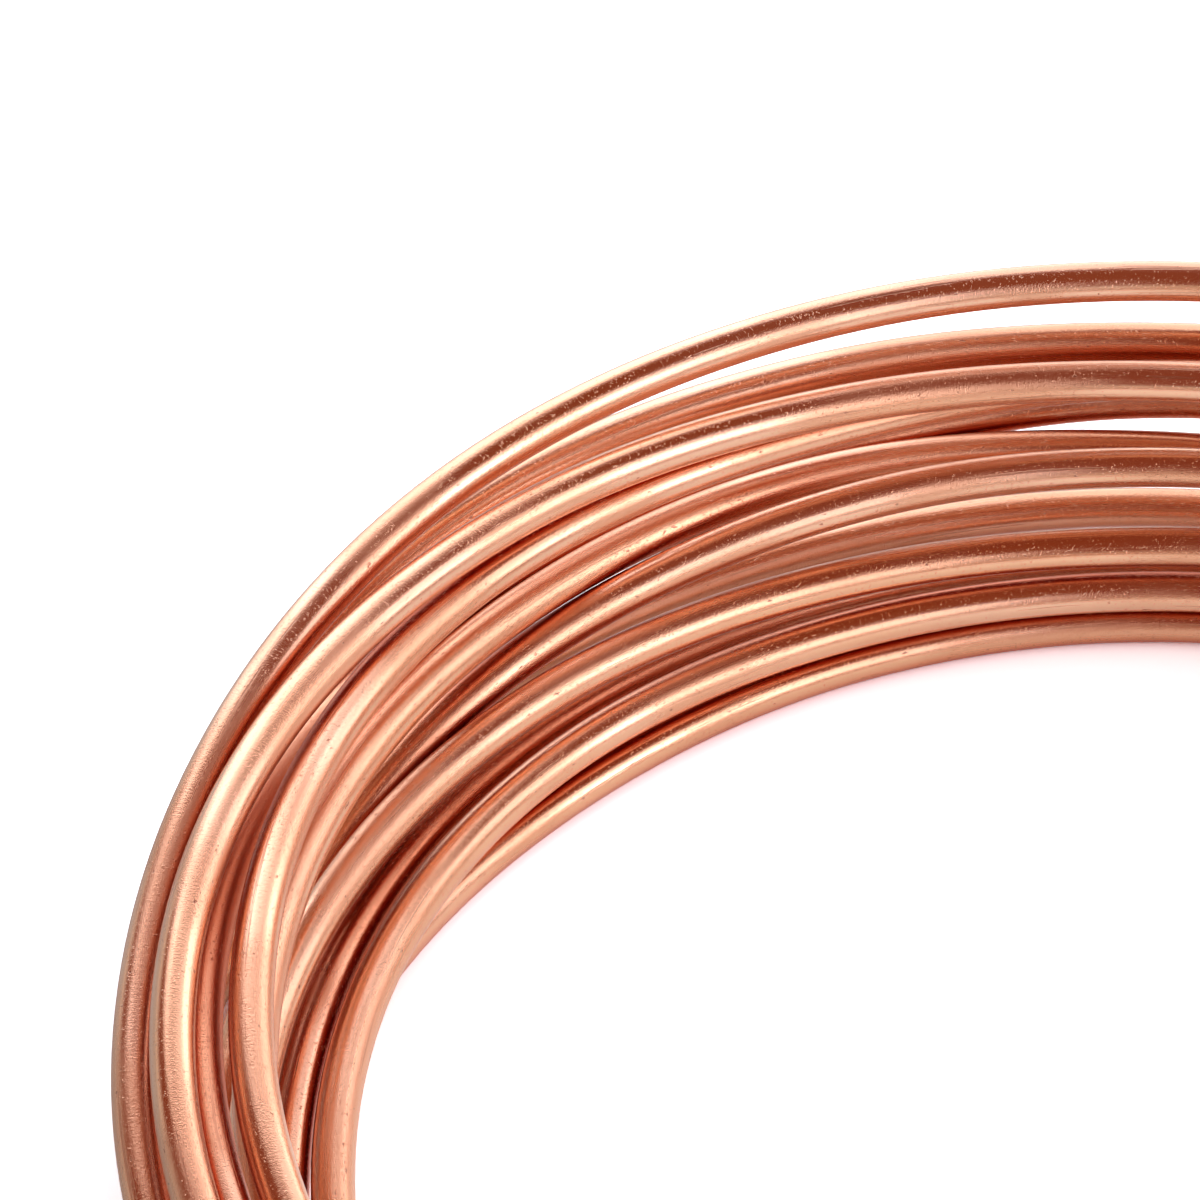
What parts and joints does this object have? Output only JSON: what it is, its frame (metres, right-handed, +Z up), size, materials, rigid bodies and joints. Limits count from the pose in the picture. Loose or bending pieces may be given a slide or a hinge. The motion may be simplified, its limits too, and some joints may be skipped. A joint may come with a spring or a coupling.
{
  "type": "copper tube coil",
  "caption": "Loose coil of bare soft copper tube lying flat, with open turns that lean, cross and overlap round a wide clear bore.",
  "frame": {"origin": "middle of the underside of the coil's box, on the floor that it lies on", "axes": "+Z up, along the coil's axis; +Y towards the side where the turns rise highest"},
  "size_m": [0.311, 0.3118, 0.0562],
  "materials": {
    "bare_copper": "satin"
  },
  "bodies": {
    "root": {"tube_coil": "bare_copper"}
  },
  "joints": []
}
